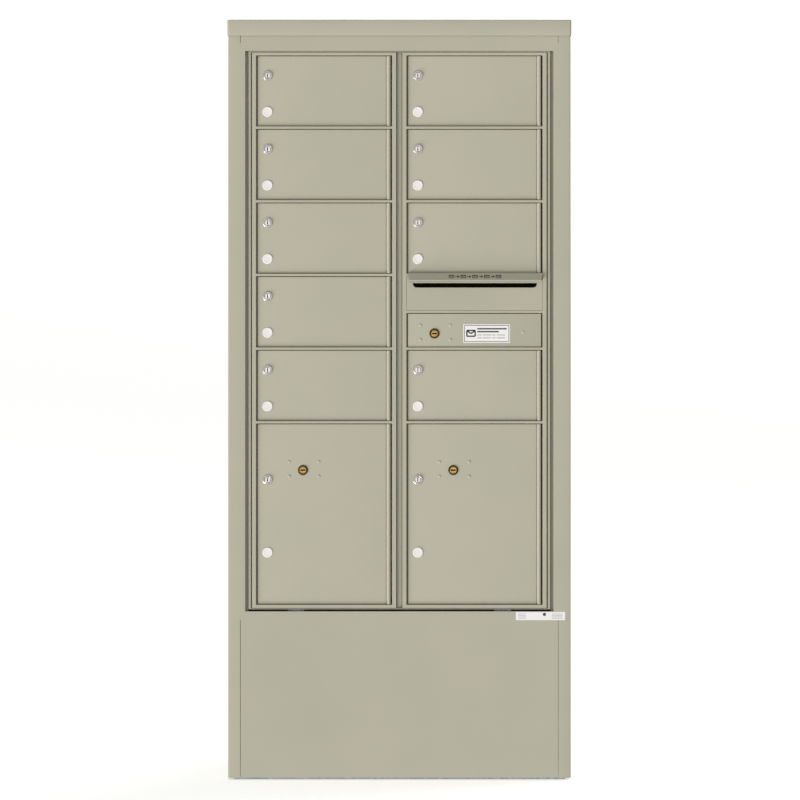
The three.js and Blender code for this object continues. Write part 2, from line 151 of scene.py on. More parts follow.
# %% Surfaces
def loft(rings, looped=False):
    """Vertices and faces of a surface through M rings of N points. Point (i, j) is i N + j, and a
    quad joins (i, j), (i, j+1), (i+1, j+1), (i+1, j), with j counted modulo N."""
    rings = np.asarray(rings, float)
    m, n, _ = rings.shape
    i, j = np.meshgrid(np.arange(m if looped else m - 1), np.arange(n), indexing="ij")
    nxt_i, nxt_j = (i + 1) % m, (j + 1) % n
    quads = np.stack([i * n + j, i * n + nxt_j, nxt_i * n + nxt_j, nxt_i * n + j], -1).reshape(-1, 4)
    faces = quads.tolist()
    if not looped:
        faces += [np.arange(n)[::-1].tolist(), ((m - 1) * n + np.arange(n)).tolist()]
    return rings.reshape(-1, 3), faces


def joined(*parts):
    """Several (vertices, faces) pairs as one pair: each part's indices start after the last's."""
    starts = np.cumsum([0] + [len(v) for v, _ in parts])
    faces = [[int(k) + int(s) for k in f] for (_, fs), s in zip(parts, starts) for f in fs]
    return np.concatenate([v for v, _ in parts]), faces


def cuboid(low, high):
    """A box between two corners: a loft of its bottom and top rectangles."""
    (x0, y0, z0), (x1, y1, z1) = low, high
    outline = np.array([[x0, y0], [x1, y0], [x1, y1], [x0, y1]])
    return loft([level_ring(outline, z0), level_ring(outline, z1)])


def pierced_plate(xs, zs, solid, y0, y1):
    """A plate from y0 to y1 on a net of lines xs and zs, where solid[i, j] says whether the cell
    is metal. A metal cell gets a front and a back, and a wall stands on each line between metal
    and air: across xs it is the difference of solid along i, and across zs along j."""
    nx, nz = len(xs), len(zs)
    gx, gz = np.meshgrid(xs, zs, indexing="ij")
    points = np.concatenate([np.stack([gx, np.full_like(gx, y), gz], -1).reshape(-1, 3) for y in (y0, y1)])
    at = np.arange(nx * nz).reshape(nx, nz)
    back = nx * nz
    i, j = np.nonzero(solid)
    front = np.stack([at[i, j], at[i + 1, j], at[i + 1, j + 1], at[i, j + 1]], -1)
    padded = np.pad(solid.astype(int), 1)
    across = padded[:-1, 1:-1] - padded[1:, 1:-1]
    i, j = np.nonzero(across)
    walls_x = np.stack([at[i, j], at[i, j] + back, at[i, j + 1] + back, at[i, j + 1]], -1)
    up = padded[1:-1, :-1] - padded[1:-1, 1:]
    i, j = np.nonzero(up)
    walls_z = np.stack([at[i, j], at[i + 1, j], at[i + 1, j] + back, at[i, j] + back], -1)
    quads = np.concatenate([front, front[:, ::-1] + back, walls_x, walls_z])
    used, renumbered = np.unique(quads, return_inverse=True)
    return points[used], renumbered.reshape(quads.shape).tolist()


# %% [markdown]
# ## Putting a surface into the scene
# Folded steel never has a knife edge, so most pieces get a small bevel, which catches the thin
# light line that tells an eye that the metal is thick. Round pieces are lathed fine enough to do
# without one. Each piece then rides on the body that it belongs to.

# %% Making a piece
SHARP = math.radians(35)


def piece(name, surface, body, material, bevel=0.0, replaces=(), flat_within=0.0):
    """An object from (vertices, faces) with outward normals, an optional bevel and one material.
    Where flat_within is an angle, triangles that turn by less than it are merged into one face."""
    points, faces = surface
    mesh = bpy.data.meshes.new(name)
    mesh.from_pydata(np.asarray(points).tolist(), [], faces)
    work = bmesh.new()
    work.from_mesh(mesh)
    bmesh.ops.remove_doubles(work, verts=work.verts, dist=0.002 * MM)
    if flat_within:
        bmesh.ops.dissolve_limit(work, angle_limit=flat_within, verts=work.verts, edges=work.edges)
    bmesh.ops.recalc_face_normals(work, faces=work.faces)
    work.to_mesh(mesh)
    work.free()
    mesh.shade_smooth()
    obj = bpy.data.objects.new(name, mesh)
    bpy.context.scene.collection.objects.link(obj)
    mesh.materials.append(material)
    if bevel:
        rounding = obj.modifiers.new("edge", "BEVEL")
        rounding.width = bevel
        rounding.segments = 2
        rounding.limit_method = "ANGLE"
        rounding.angle_limit = SHARP
        rounding.harden_normals = True
    else:
        mesh.set_sharp_from_angle(angle=SHARP)
    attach(obj, body)
    if replaces:
        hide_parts(*replaces)
    return obj


def merged_copy(node):
    """The vertices and faces of a CAD node, read as whole arrays, for a piece that keeps its shape."""
    source = NODES[node].data
    points = np.empty(len(source.vertices) * 3)
    source.vertices.foreach_get("co", points)
    corners = np.empty(len(source.loops), int)
    source.loops.foreach_get("vertex_index", corners)
    return points.reshape(-1, 3), corners.reshape(-1, 3).tolist()


# %% [markdown]
# ## Materials
# A finish is described by what it is made of and how it was made. One helper adds a node with its
# settings and links, and colours are written as the sRGB values a painter would mix, then turned
# to the linear values that a shader needs.

# %% Node helper and colour
def to_linear(hexcode):
    """An sRGB hex colour as linear RGBA: c / 12.92 in the darkest part, and a 2.4 power above."""
    c = np.array([int(hexcode[i:i + 2], 16) for i in (1, 3, 5)]) / 255
    linear = np.where(c <= 0.04045, c / 12.92, ((c + 0.055) / 1.055) ** 2.4)
    return (*linear.tolist(), 1.0)


def add(tree, kind, inputs=(), **settings):
    """Adds one node: settings are its properties, and inputs pairs a socket with a value or with
    another node's output socket, which is linked."""
    node = tree.nodes.new(kind)
    for key, value in settings.items():
        setattr(node, key, value)
    for socket, value in dict(inputs).items():
        if isinstance(value, bpy.types.NodeSocket):
            tree.links.new(value, node.inputs[socket])
        else:
            node.inputs[socket].default_value = value
    return node


def blank(name):
    """A material whose only nodes are a Principled shader and the output it feeds."""
    material = bpy.data.materials.new(name)
    material.use_nodes = True
    material.node_tree.nodes.clear()
    shader = add(material.node_tree, "ShaderNodeBsdfPrincipled")
    add(material.node_tree, "ShaderNodeOutputMaterial", {"Surface": shader.outputs[0]})
    return material, material.node_tree, shader


# %% [markdown]
# ### Powder coat
# Polyester powder is sprayed on dry and baked, so it flows into a skin with a faint orange peel
# of waves 1 to 3 mm long. It is satin, almost even in colour, and a little greyer in patches the
# size of a hand. Corners and gaps are darkened towards a brown, as painted shade. An ambient
# occlusion node finds those places, because it measures how closed in each point is.

# %% Powder coat
PEEL = 2.2 * MM
SPECK = 0.7 * MM
HAND = 160 * MM
CORNER = 9 * MM
# Painted shade in corners and gaps: where it is full, where it is none, and its largest share.
SHADE_FULL, SHADE_NONE, SHADE_MOST = 0.35, 0.9, 0.55


def powder_coat(name, tone, shade, shade_brown, roughness):
    """Tone and shade mix by hand-sized noise, a fine speck varies the tone and the peel raises the
    surface. The openness within CORNER mixes in painted shade, a brown darkening of corners and
    gaps: none of it at SHADE_NONE and above, and a share of SHADE_MOST at SHADE_FULL and below."""
    material, tree, shader = blank(name)
    where = add(tree, "ShaderNodeTexCoord").outputs["Object"]
    patch = add(tree, "ShaderNodeTexNoise", {"Vector": where, "Scale": 1 / HAND, "Detail": 4.0})
    peel = add(tree, "ShaderNodeTexNoise", {"Vector": where, "Scale": 1 / PEEL, "Detail": 2.0})
    speck = add(tree, "ShaderNodeTexNoise", {"Vector": where, "Scale": 1 / SPECK, "Detail": 1.0})
    base = add(tree, "ShaderNodeMix", {0: patch.outputs["Fac"], 6: to_linear(tone), 7: to_linear(shade)},
               data_type="RGBA")
    grain = add(tree, "ShaderNodeMapRange", {"Value": speck.outputs["Fac"], "From Min": 0.3,
                                             "From Max": 0.7, "To Min": 0.965, "To Max": 1.035})
    flecked = add(tree, "ShaderNodeMix", {0: 1.0, 6: base.outputs[2], 7: grain.outputs[0]},
                  data_type="RGBA", blend_type="MULTIPLY")
    # Painted shade: ambient occlusion within CORNER darkens corners and gaps towards a brown.
    nearby = add(tree, "ShaderNodeAmbientOcclusion", {"Distance": CORNER}, samples=8)
    painted_shade = add(tree, "ShaderNodeMapRange", {"Value": nearby.outputs["AO"], "From Min": SHADE_FULL,
                                               "From Max": SHADE_NONE, "To Min": SHADE_MOST, "To Max": 0.0})
    colour = add(tree, "ShaderNodeMix", {0: painted_shade.outputs[0], 6: flecked.outputs[2], 7: to_linear(shade_brown)},
                 data_type="RGBA")
    satin = add(tree, "ShaderNodeMapRange", {"Value": patch.outputs["Fac"], "To Min": roughness - 0.06,
                                             "To Max": roughness + 0.06})
    bump = add(tree, "ShaderNodeBump", {"Height": peel.outputs["Fac"], "Strength": 0.22,
                                        "Distance": 0.25 * MM})
    tree.links.new(colour.outputs[2], shader.inputs["Base Color"])
    tree.links.new(satin.outputs[0], shader.inputs["Roughness"])
    tree.links.new(bump.outputs[0], shader.inputs["Normal"])
    shader.inputs["IOR"].default_value = 1.5
    return material


# The brown that corners and gaps are darkened towards, as painted shade.
GAP_SHADE_BROWN = "#6E6654"
SANDSTONE = powder_coat("polyester_powder_coat_sandstone_satin", "#B9B5A0", "#B1AE9B", GAP_SHADE_BROWN, 0.5)
INNER_COAT = powder_coat("polyester_powder_coat_thin_inside", "#B0AD9A", "#A6A391", GAP_SHADE_BROWN, 0.58)

# %% [markdown]
# ### Metals
# Lock bezels are die-cast zinc with bright chrome on it. Postal locks are turned brass that has
# been handled and has browned in its grooves. Shelves and pins are zinc-plated steel, whose
# crystals show as faint spangles a few millimetres across.

# %% Metals
def metal(name, bright, dull, grain, roughness, spread, stretch=(1, 1, 1)):
    """Bright and dull mix by noise as long as the grain, which also varies the roughness."""
    material, tree, shader = blank(name)
    where = add(tree, "ShaderNodeTexCoord").outputs["Object"]
    laid = add(tree, "ShaderNodeMapping", {"Vector": where, "Scale": stretch})
    noise = add(tree, "ShaderNodeTexNoise", {"Vector": laid.outputs[0], "Scale": 1 / grain, "Detail": 5.0})
    contrast = add(tree, "ShaderNodeMapRange", {"Value": noise.outputs["Fac"], "From Min": 0.35,
                                                "From Max": 0.65})
    colour = add(tree, "ShaderNodeMix", {0: contrast.outputs[0], 6: to_linear(bright), 7: to_linear(dull)},
                 data_type="RGBA")
    gloss = add(tree, "ShaderNodeMapRange", {"Value": noise.outputs["Fac"], "To Min": roughness - spread,
                                             "To Max": roughness + spread})
    bump = add(tree, "ShaderNodeBump", {"Height": noise.outputs["Fac"], "Strength": 0.12,
                                        "Distance": 0.05 * MM})
    tree.links.new(colour.outputs[2], shader.inputs["Base Color"])
    tree.links.new(gloss.outputs[0], shader.inputs["Roughness"])
    tree.links.new(bump.outputs[0], shader.inputs["Normal"])
    shader.inputs["Metallic"].default_value = 1.0
    return material


CHROME = metal("chrome_plated_zinc_polished", "#EDE9E6", "#D6D1CE", 3 * MM, 0.27, 0.08)
BRASS = metal("turned_brass_handled", "#D8B478", "#B08A4C", 4 * MM, 0.32, 0.1, (1, 6, 1))
BRASS_AGED = metal("brass_browned_in_grooves", "#6B5226", "#3E2F14", 3 * MM, 0.5, 0.1)
ZINC = metal("zinc_plated_steel_spangled", "#BFC3C4", "#9EA4A7", 9 * MM, 0.42, 0.12)
# The keyway's oiled steel is painted near black, as painted shade of the deep slot.
KEYWAY_STEEL_AND_SHADE = metal("keyway_dark_oiled_steel", "#2A2624", "#171412", 2 * MM, 0.55, 0.1)

# %% [markdown]
# ### Plastics and print
# The number discs are moulded ABS, which is faintly warm and slightly uneven. The two labels are
# printed vinyl: a white film with a fine tooth, and ink that is a shade lighter where it is thin.

# %% Plastics and print
def moulded(name, light, deep, grain, roughness, relief):
    """A dielectric whose colour, roughness and relief all drift with one noise of that grain."""
    material, tree, shader = blank(name)
    where = add(tree, "ShaderNodeTexCoord").outputs["Object"]
    noise = add(tree, "ShaderNodeTexNoise", {"Vector": where, "Scale": 1 / grain, "Detail": 3.0})
    colour = add(tree, "ShaderNodeMix", {0: noise.outputs["Fac"], 6: to_linear(light), 7: to_linear(deep)},
                 data_type="RGBA")
    sheen = add(tree, "ShaderNodeMapRange", {"Value": noise.outputs["Fac"], "To Min": roughness - 0.08,
                                             "To Max": roughness + 0.08})
    bump = add(tree, "ShaderNodeBump", {"Height": noise.outputs["Fac"], "Strength": 0.2, "Distance": relief})
    tree.links.new(colour.outputs[2], shader.inputs["Base Color"])
    tree.links.new(sheen.outputs[0], shader.inputs["Roughness"])
    tree.links.new(bump.outputs[0], shader.inputs["Normal"])
    shader.inputs["IOR"].default_value = 1.53
    return material


DISC = moulded("abs_moulded_white", "#F6F1EE", "#ECE6E2", 6 * MM, 0.4, 0.05 * MM)
VINYL = moulded("vinyl_label_white", "#F7F6F3", "#EDEBE6", 3 * MM, 0.45, 0.03 * MM)
INK = moulded("label_ink_dark_grey", "#3A3836", "#4A4845", 2 * MM, 0.6, 0.02 * MM)
INK_PALE = moulded("label_ink_pale_grey", "#8E8B88", "#A09D9A", 2 * MM, 0.6, 0.02 * MM)
HOOD_INK = moulded("hood_marking_paint_brown", "#3B342C", "#4A4238", 2 * MM, 0.55, 0.03 * MM)

# %% [markdown]
# ## Finishes for the frame's own pieces
# Pieces that stay as the frame made them, inside the cabinet, only need their real finish.

# %% Dress the CAD nodes
FINISH = {"powder_coat": SANDSTONE, "inner_powder_coat": INNER_COAT, "zinc_plated_steel": ZINC,
          "lock_chrome": CHROME, "brass": BRASS}
SLOT = {s["node"]: s["material_slot"] for s in frame["record"]["subparts"]}
for node, obj in NODES.items():
    obj.data.materials.clear()
    obj.data.materials.append(FINISH[SLOT[node]])

# %% [markdown]
# ## Cabinet skin
# A side panel is one sheet folded round to the front, so its section is a long C with a fold of
# 3 mm outside radius. It is the same section from floor to roof, which makes it a loft between
# two level loops.

# %% Side panels
FOLD = 3.0 * MM
REAR_LAP = 20.2 * MM


def side_section(side):
    """The C in plan: front return, outside fold, wall, rear fold and rear return, then back."""
    low, high = extent("left_side_panel" if side < 0 else "right_side_panel")
    wall, seam = (low[0], high[0]) if side < 0 else (high[0], low[0])
    wall, seam = abs(wall), abs(seam)
    front, rear = low[1], high[1]
    outline = np.concatenate([
        [[seam, front]],
        arc((wall - FOLD, front + FOLD), FOLD, -90, 0, 9),
        arc((wall - FOLD, rear - FOLD), FOLD, 0, 90, 9),
        [[wall - REAR_LAP, rear], [wall - REAR_LAP, rear - SHEET]],
        arc((wall - FOLD, rear - FOLD), FOLD - SHEET, 90, 0, 5),
        arc((wall - FOLD, front + FOLD), FOLD - SHEET, 0, -90, 5),
        [[seam, front + SHEET]],
    ])
    return outline * [side, 1], low[2], high[2]


for name, side in (("left_side_panel", -1), ("right_side_panel", 1)):
    outline, floor_z, top_z = side_section(side)
    piece(f"{name}_sheet", loft([level_ring(outline, floor_z), level_ring(outline, top_z)]),
          "cabinet", SANDSTONE, bevel=0.5 * MM, replaces=[name])

# %% [markdown]
# The front panel is one flat sheet with a large window, and the window's edge is folded back into
# a sleeve. Going round its thickness is a loop of six rectangles: outer edge, window, sleeve's
# inside, sleeve's outside, and back again. That is a looped loft. At both sides the sleeve is
# folded in once more, as a lip that hides the gap beside the module.

# %% Front panel
def rectangle_ring(x, z, y):
    """A rectangle standing at depth y, from x[0] to x[1] and from z[0] to z[1]."""
    return np.array([[x[0], y, z[0]], [x[1], y, z[0]], [x[1], y, z[1]], [x[0], y, z[1]]])


SLEEVE = 1.5 * MM
BESIDE, UNDER, OVER = 7.8 * MM, 4.7 * MM, 0.8 * MM
LIP_TO_CASE = 0.8 * MM
panel_low, panel_high = extent("front_panel")
case_low, case_high = extent("module_case")
window_x = np.array([case_low[0] - BESIDE, case_high[0] + BESIDE])
window_z = np.array([case_low[2] - UNDER, case_high[2] + OVER])
outward = np.array([-SLEEVE, SLEEVE])
sheet_x, sheet_z = (panel_low[0], panel_high[0]), (panel_low[2], panel_high[2])
front_rings = [
    rectangle_ring(sheet_x, sheet_z, FRONT),
    rectangle_ring(window_x, window_z, FRONT),
    rectangle_ring(window_x, window_z, panel_high[1]),
    rectangle_ring(window_x + outward, window_z + outward, panel_high[1]),
    rectangle_ring(window_x + outward, window_z + outward, FRONT + SHEET),
    rectangle_ring(sheet_x, sheet_z, FRONT + SHEET),
]
piece("front_panel_sheet", loft(front_rings, looped=True), "cabinet", SANDSTONE,
      bevel=0.6 * MM, replaces=["front_panel"])
lip_y = (panel_high[1] - SLEEVE, panel_high[1])
for name, side in (("left", -1), ("right", 1)):
    lip_x = sorted([side * (case_high[0] + LIP_TO_CASE), side * (window_x[1] + SLEEVE / 2)])
    strip = cuboid((lip_x[0], lip_y[0], window_z[0]), (lip_x[1], lip_y[1], window_z[1]))
    piece(f"{name}_window_lip", strip, "cabinet", SANDSTONE, bevel=0.3 * MM)

# %% [markdown]
# The seam between the front sheet and the side returns was welded and dressed flush beside the
# window, and left as an open joint at the base and for a short way under the roof. A narrow
# filler fills the joint where the weld is.

# %% Dressed welds
WELD_FROM, WELD_TO = 385 * MM, 1777 * MM
WELD_OVERLAP, WELD_SUNK, WELD_THICK = 0.7 * MM, 0.02 * MM, 1.2 * MM
for name, side in (("left", -1), ("right", 1)):
    edges = sorted([side * panel_high[0], side * extent("right_side_panel")[0][0]])
    across = np.linspace(edges[0] - WELD_OVERLAP, edges[1] + WELD_OVERLAP, 7)
    profile = np.column_stack([across, np.full(7, FRONT + WELD_SUNK)])
    outline = np.concatenate([profile, profile[::-1] + [0, WELD_THICK]])
    piece(f"{name}_dressed_weld", loft([level_ring(outline, WELD_FROM), level_ring(outline, WELD_TO)]),
          "cabinet", SANDSTONE)

# %% [markdown]
# The roof is a shallow pan turned upside down. Its skirt leans in slightly at the hem, and its top
# edge is rolled to a radius. Reading from the ceiling inside to the crown outside, it is a loft of
# rectangles with round corners.

# %% Roof cap
def cap_ring(inset, z, radius):
    """A round-cornered rectangle as far inside the cap's box as inset says, at height z."""
    low, high = extent("roof_cap")
    size = high - low - 2 * inset
    loop = rounded(size[0], size[1], radius, 64)
    return level_ring(loop, z, ((low[0] + high[0]) / 2, (low[1] + high[1]) / 2))


cap_low, cap_high = extent("roof_cap")
hem, crown = cap_low[2], cap_high[2]
ROLL = 2.5 * MM
roll_angles = np.radians(np.linspace(0, 90, 6))
cap_rings = [cap_ring(SHEET, crown - SHEET, 3 * MM), cap_ring(SHEET, hem + 1 * MM, 3 * MM),
             cap_ring(1.6 * MM, hem, 4 * MM), cap_ring(1.0 * MM, hem, 4 * MM),
             cap_ring(0.3 * MM, hem + 4 * MM, 5 * MM)]
cap_rings += [cap_ring(ROLL * (1 - np.cos(a)), crown - ROLL + ROLL * np.sin(a), 5 * MM) for a in roll_angles]
cap_rings += [cap_ring(60 * MM, crown, 5 * MM)]
piece("roof_cap_pan", loft(cap_rings), "cabinet", SANDSTONE, replaces=["roof_cap"])

# %% [markdown]
# The back is a removable cover: a flat sheet held by a column of pan-head screws down each side.
# A screw head is a dome with a cross recess too small to read here, so a turned profile with a
# shallow drive socket is enough.

# %% Back panel and screws
back_low, back_high = extent("back_panel")
piece("back_panel_sheet", cuboid(back_low, back_high), "cabinet", SANDSTONE,
      bevel=0.5 * MM, replaces=["back_panel"])


def button(centre, y, radius, height, facing, socket=0.0, count=24):
    """A domed head on a flat face: rings whose radius follows a quarter ellipse,
    r cos t at height h sin t, ending in a small flat or, if given a radius, in a round socket."""
    t = np.linspace(0, np.pi / 2 * 0.9, 7)
    rings = [upright_ring(circle(radius, count), y, centre)]
    rings += [upright_ring(circle(radius * np.cos(a), count), y + facing * height * np.sin(a), centre)
              for a in t[1:]]
    if socket:
        rings += [upright_ring(circle(socket, count), y + facing * height * np.sin(t[-1]), centre),
                  upright_ring(circle(socket * 0.9, count), y + facing * height * 0.3, centre)]
    return loft(rings)


SCREWS_A_SIDE, FROM_EDGE = 8, 12 * MM
screw_z = np.linspace(back_low[2] + 60 * MM, back_high[2] - 80 * MM, SCREWS_A_SIDE)
screws = [button((x, z), back_high[1] - 0.05 * MM, 5 * MM, 2.1 * MM, 1, socket=1.6 * MM)
          for x in (back_low[0] + FROM_EDGE, back_high[0] - FROM_EDGE) for z in screw_z]
piece("back_panel_screws", joined(*screws), "cabinet", ZINC)

# %% [markdown]
# ## Pieces kept from the frame
# The base pan, the platform, the shelves, the inner case, the mullion, the divider and the latch
# bars are sheared and folded steel with nothing more to say about their shape. Each is a merged
# copy of its frame node, so that a bevel can find its real edges. The hinge rods and pivot pins
# are drawn again as round bars.

# %% Inner structure
PLAIN_NODES = ["base_plate", "module_platform", "module_case", "centre_mullion", "centre_divider"]
PLAIN_NODES += sorted(n for n in NODES if "shelf" in n or n.endswith("latch_bar"))
BODY_OF = {n: o["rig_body"] for n, o in NODES.items()}
for node in PLAIN_NODES:
    piece(f"{node}_folded", merged_copy(node), BODY_OF[node], FINISH[SLOT[node]],
          bevel=0.3 * MM, replaces=[node], flat_within=math.radians(1))


def rod(low, high, count=24):
    """A round bar inside a box: a loft of two circles, drawn in to a small chamfer at each end."""
    centre = (low[:2] + high[:2]) / 2
    radius = (high[0] - low[0]) / 2
    chamfer = 0.4 * MM
    steps = [(low[2], radius - chamfer), (low[2] + chamfer, radius),
             (high[2] - chamfer, radius), (high[2], radius - chamfer)]
    return loft([level_ring(circle(r, count), z, centre) for z, r in steps])


RODS = sorted(n for n in NODES if n.endswith(("_pin", "_rod")))
for node in RODS:
    piece(f"{node}_turned", rod(*extent(node)), BODY_OF[node], ZINC, replaces=[node])
print(len(PLAIN_NODES), "plain pieces,", len(RODS), "rods and pins")

# %% [markdown]
# ## Master frames
# Each column of doors hangs in a master frame, a grid of stiles and rails that the carrier swings
# open as one. Its bays are read back from the doors: a door stands 1.2 mm above its clear opening
# and ends 1.8 mm below the top of it. Behind the grid is a thin stop that each door closes against
# at its sides and foot. Its head is left clear, which is why the gap over a door looks black.

# %% Bays of a column
BELOW, ABOVE, PANEL_GAP = 1.2 * MM, 1.8 * MM, 0.3 * MM
STILE = 10.2 * MM


def bays(side):
    """Bottom and top of every clear opening in a column, from the lowest to the highest."""
    doors = [extent(n) for n in DOORS if PARENT[n] == f"{side}_master"]
    found = [(low[2] - BELOW, high[2] + ABOVE) for low, high in doors]
    if side == "right":
        low, high = extent("outgoing_mail_panel")
        found.append((low[2] - PANEL_GAP, high[2] + PANEL_GAP))
    return np.array(sorted(found))


def grid_of_windows(x0, x1, z0, z1, windows, y0, y1):
    """A plate from x0 to x1 and z0 to z1 with a window (left, right, bottom, top) for each bay."""
    left, right = windows[0][:2]
    zs = np.concatenate([[z0], *[w[2:] for w in windows], [z1]])
    solid = np.ones((3, len(zs) - 1), bool)
    solid[1, 1::2] = False
    return pierced_plate(np.array([x0, left, right, x1]), zs, solid, y0, y1)


# %% [markdown]
# Four guides on the back of the inner stile hold the latch bar. Each is a short sleeve of
# rectangular section, which is again a looped loft, this time of level rectangles.

# %% Frames, stops and guides
GUIDE_Z = np.array([450, 862.5, 1218.1, 1573.7]) * MM
GUIDE_HALF, GUIDE_WALL, BAR = 6 * MM, 2.4 * MM, 8 * MM
FRAME_DEPTH, STOP_FRONT, STOP_BACK = 20 * MM, 11 * MM, 13 * MM
STOP_SIDE, STOP_FOOT, STOP_INSET = 7 * MM, 5 * MM, 1 * MM


def level_rectangle(x, y, z):
    """A rectangle lying at height z."""
    return np.array([[x[0], y[0], z], [x[1], y[0], z], [x[1], y[1], z], [x[0], y[1], z]])


def guide(bar_x, bar_y, z):
    """A rectangular sleeve round a bar, with 0.4 mm to spare, set against the back of the stile."""
    spare = 0.4 * MM * np.array([-1, 1])
    wall = GUIDE_WALL * np.array([-1, 1])
    inner_x, inner_y = bar_x + spare, bar_y + spare
    outer_x, outer_y = inner_x + wall, np.array([FACE + 19 * MM, inner_y[1] + 2 * MM])
    low, high = z - GUIDE_HALF, z + GUIDE_HALF
    rings = [level_rectangle(outer_x, outer_y, low), level_rectangle(outer_x, outer_y, high),
             level_rectangle(inner_x, inner_y, high), level_rectangle(inner_x, inner_y, low)]
    return loft(rings, looped=True)


for side, sign in (("left", -1), ("right", 1)):
    low, high = extent(f"{side}_master_frame")
    clear_x = (low[0] + STILE, high[0] - STILE)
    openings = [(*clear_x, *bay) for bay in bays(side)]
    grid = grid_of_windows(low[0], high[0], low[2], high[2], openings, FACE, FACE + FRAME_DEPTH)
    piece(f"{side}_master_grid", grid, f"{side}_master", SANDSTONE,
          bevel=0.9 * MM, replaces=[f"{side}_master_frame"])
    stops = [(clear_x[0] + STOP_SIDE, clear_x[1], b + STOP_FOOT, t + MM) for b, t in bays(side)]
    sheet_low, sheet_high = low + STOP_INSET, high - STOP_INSET
    stop = grid_of_windows(sheet_low[0], sheet_high[0], sheet_low[2], sheet_high[2], stops,
                           FACE + STOP_FRONT, FACE + STOP_BACK)
    piece(f"{side}_door_stop", stop, f"{side}_master", SANDSTONE, bevel=0.3 * MM)
    bar_low, bar_high = extent(f"{side}_latch_bar")
    bar_x = np.array([bar_high[0] - BAR, bar_high[0]] if sign < 0 else [bar_low[0], bar_low[0] + BAR])
    bar_y = np.array([bar_low[1], bar_high[1]])
    guides = joined(*[guide(bar_x, bar_y, z) for z in GUIDE_Z])
    piece(f"{side}_latch_guides", guides, f"{side}_master", SANDSTONE, bevel=0.3 * MM)
    print(side, "column:", len(openings), "bays")

# %% [markdown]
# ## Doors
# A mailbox door is an aluminium extrusion cut to length. One section makes all of them: a plate
# with a soft front corner and a stiffening lip on the lock side, a fine V groove, and a round bead
# bored for the hinge rod. The face sits a little behind the frame, so the frame's edge shades it.

# %% Door section
RECESS, ACCESS_RECESS = 4.2 * MM, 2.2 * MM
PLATE = 3.2 * MM
BEAD = 5.0 * MM
GROOVE_AT, GROOVE_HALF, GROOVE_DEPTH = 11 * MM, 0.9 * MM, 1.1 * MM
LIP_DEPTH, LIP_SHEET = 10.5 * MM, 2.5 * MM


def face_of(door):
    """The plane of a door's face: the carrier's access door sits nearer to the frame's face."""
    return FACE + (ACCESS_RECESS if "access" in door else RECESS)


def door_section(name, square_edge):
    """The extrusion in plan, from its lock edge to its hinge edge and back along the inside."""
    low, high = extent(name)
    face = face_of(name)
    left, right = low[0], high[0]
    axis = PIVOT[name][:2]
    back = face + PLATE
    meets = 180 - math.degrees(math.asin((back - axis[1]) / BEAD))
    corner = arc((left + 1.2 * MM, face + 1.2 * MM), 1.2 * MM, 180, 270, 5)
    if square_edge:
        edge = arc((right - 1.0 * MM, face + 1.0 * MM), 1.0 * MM, 270, 360, 5)
        front = np.concatenate([corner, edge, arc(axis, BEAD, 0, meets, 24)])
    else:
        rises = 180 - math.degrees(math.asin((face - axis[1]) / BEAD))
        groove = right - GROOVE_AT
        vee = [[groove - GROOVE_HALF, face], [groove, face + GROOVE_DEPTH], [groove + GROOVE_HALF, face]]
        front = np.concatenate([corner, vee, arc(axis, BEAD, rises, meets + 360, 36)])
    inside = [[left + LIP_SHEET, back], [left + LIP_SHEET, FACE + LIP_DEPTH], [left, FACE + LIP_DEPTH]]
    return np.concatenate([front, inside]), low[2], high[2]


for name in DOORS:
    outline, bottom, top = door_section(name, square_edge=name == "right_access_door")
    piece(f"{name}_extrusion", loft([level_ring(outline, bottom), level_ring(outline, top)]),
          name, SANDSTONE, bevel=0.35 * MM, replaces=[name])
print("doors made:", len(DOORS))

# %% [markdown]
# ## Tenant locks
# A cam lock has a turned bezel, fixed to the door, round a plug that turns with the key. The bezel
# steps up twice, which is what makes its two bright rings. The plug has a dished face and a real
# keyway, and its tail carries the cam that hooks behind the frame's stop.

# %% Turned rings and plugs
def turned(profile, centre, looped=False, count=64):
    """A profile of (radius, y) carried round the lock's own axis, which runs along y."""
    return loft([upright_ring(circle(r, count), y, centre) for r, y in profile], looped)


def plug(centre, radius, front, back, keyway, depth, dish):
    """A cylinder whose face is sunk by dish at its middle and pierced by a keyway (width, height).
    Its rings go from the tail to the rim, then in to the keyway's outline and down to its floor."""
    width, height = keyway
    end = min(width, height) / 2 * 0.98
    rim = 0.5 * MM
    rings = [upright_ring(circle(radius), back, centre),
             upright_ring(circle(radius), front + rim, centre),
             upright_ring(circle(radius - 0.15 * MM), front + 0.15 * MM, centre),
             upright_ring(circle(radius - rim), front, centre),
             upright_ring(rounded(width + 2 * MM, height + 2 * MM, end + MM), front + dish, centre),
             upright_ring(rounded(width, height, end), front + dish, centre),
             upright_ring(rounded(width, height, end), front + dish + depth, centre)]
    return loft(rings)


CAM_FRONT, CAM_BACK, PLUG_TAIL = 21 * MM, 23 * MM, 21.5 * MM


def cam_tail(centre, length, half=7 * MM):
    """A strap with round ends, hanging from the lock's axis to its full length."""
    middle = (centre[0], centre[1] - (length - half) / 2)
    strap = rounded(2 * half, length + half, half * 0.999)
    return loft([upright_ring(strap, FACE + y, middle) for y in (CAM_FRONT, CAM_BACK)])


def lock_tail(body, centre, length):
    """The cam and the dome nut that holds it, both turning with the plug."""
    nut = button(centre, FACE + CAM_BACK - 0.1 * MM, 5.5 * MM, 3 * MM, 1, socket=1.8 * MM)
    piece(f"{body}_cam", joined(cam_tail(centre, length), nut), body, ZINC,
          bevel=0.25 * MM)


